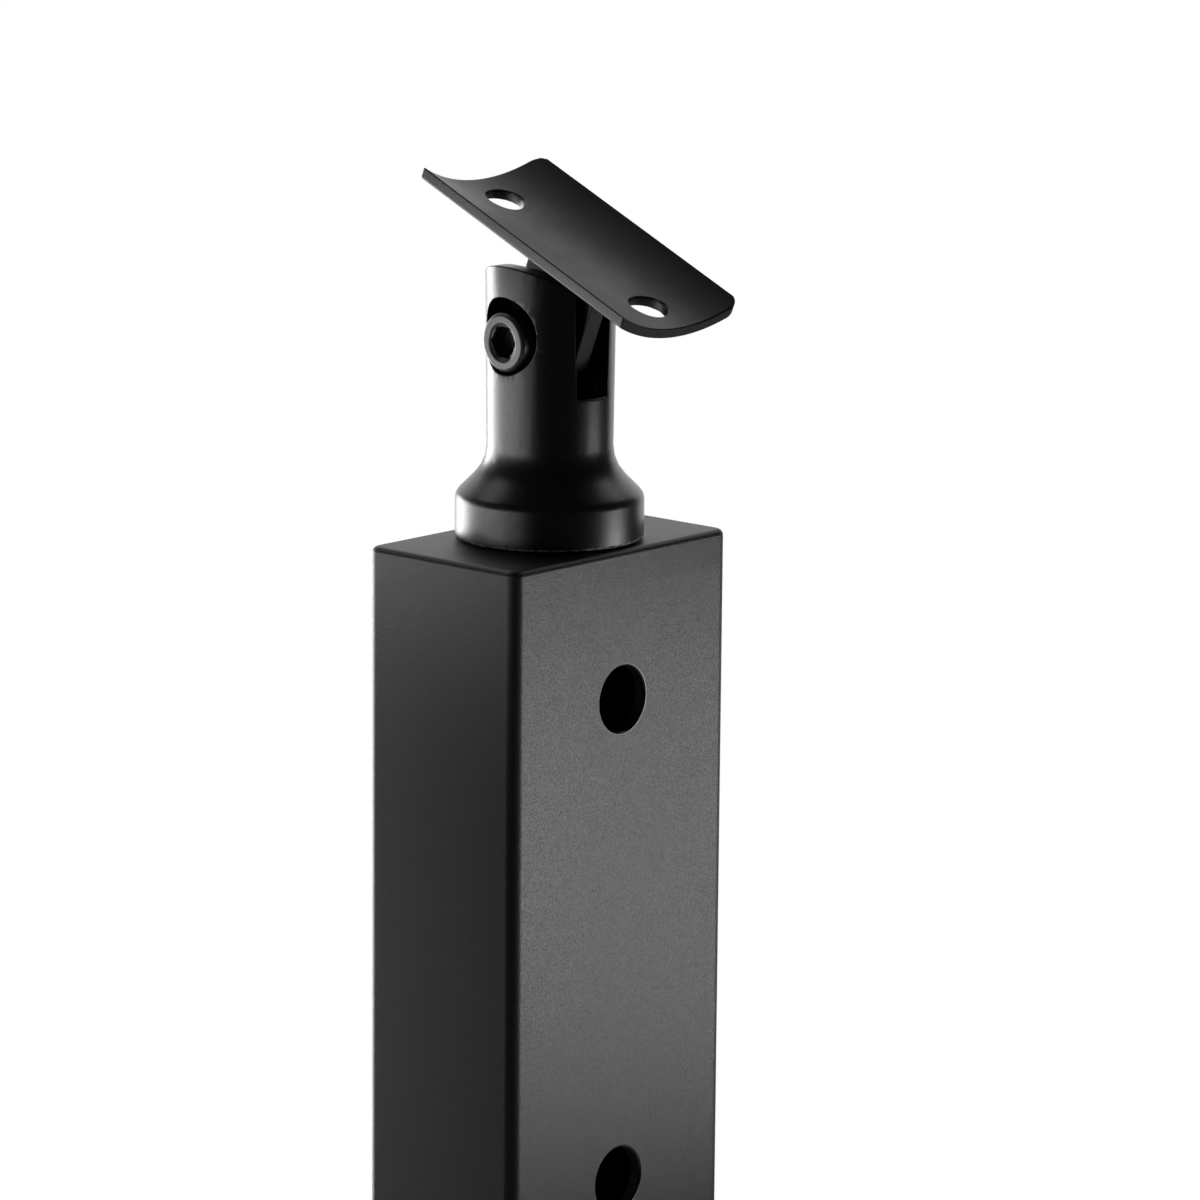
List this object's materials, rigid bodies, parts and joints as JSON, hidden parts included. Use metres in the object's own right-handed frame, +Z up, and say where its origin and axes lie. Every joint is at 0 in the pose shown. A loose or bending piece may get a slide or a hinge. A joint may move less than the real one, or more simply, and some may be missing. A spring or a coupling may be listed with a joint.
{
  "type": "cable railing post",
  "caption": "Rectangular steel railing post with a row of cable holes, a foot plate and a swivelling, tilting handrail saddle on top.",
  "frame": {"origin": "middle of the foot plate's underside", "axes": "+Z up along the post, X along the cables through the post, Y across the drilled wall"},
  "size_m": [0.1016, 0.1016, 0.9248],
  "materials": {
    "post_coat": "fine textured black powder coat",
    "neck_coat": "smooth satin black coat",
    "saddle_coat": "smooth matt black coat",
    "screw_black": "black coated screw"
  },
  "bodies": {
    "post": {"post_tube": "post_coat", "top_cap": "post_coat", "base_plate": "post_coat", "neck_screw": "screw_black"},
    "neck": {"neck": "neck_coat", "pivot_screw": "screw_black"},
    "saddle": {"saddle_plate": "saddle_coat", "saddle_tongue": "saddle_coat"}
  },
  "joints": [
    {"name": "neck_swivel", "type": "hinge", "parent": "post", "child": "neck", "pos_m": [0, 0, 0.86635], "axis": [0, 0, 1], "continuous": true},
    {"name": "saddle_tilt", "type": "hinge", "parent": "neck", "child": "saddle", "pos_m": [0, 0, 0.89845], "axis": [0.0872, 0.9962, 0], "range_deg": [-57, 13]}
  ]
}
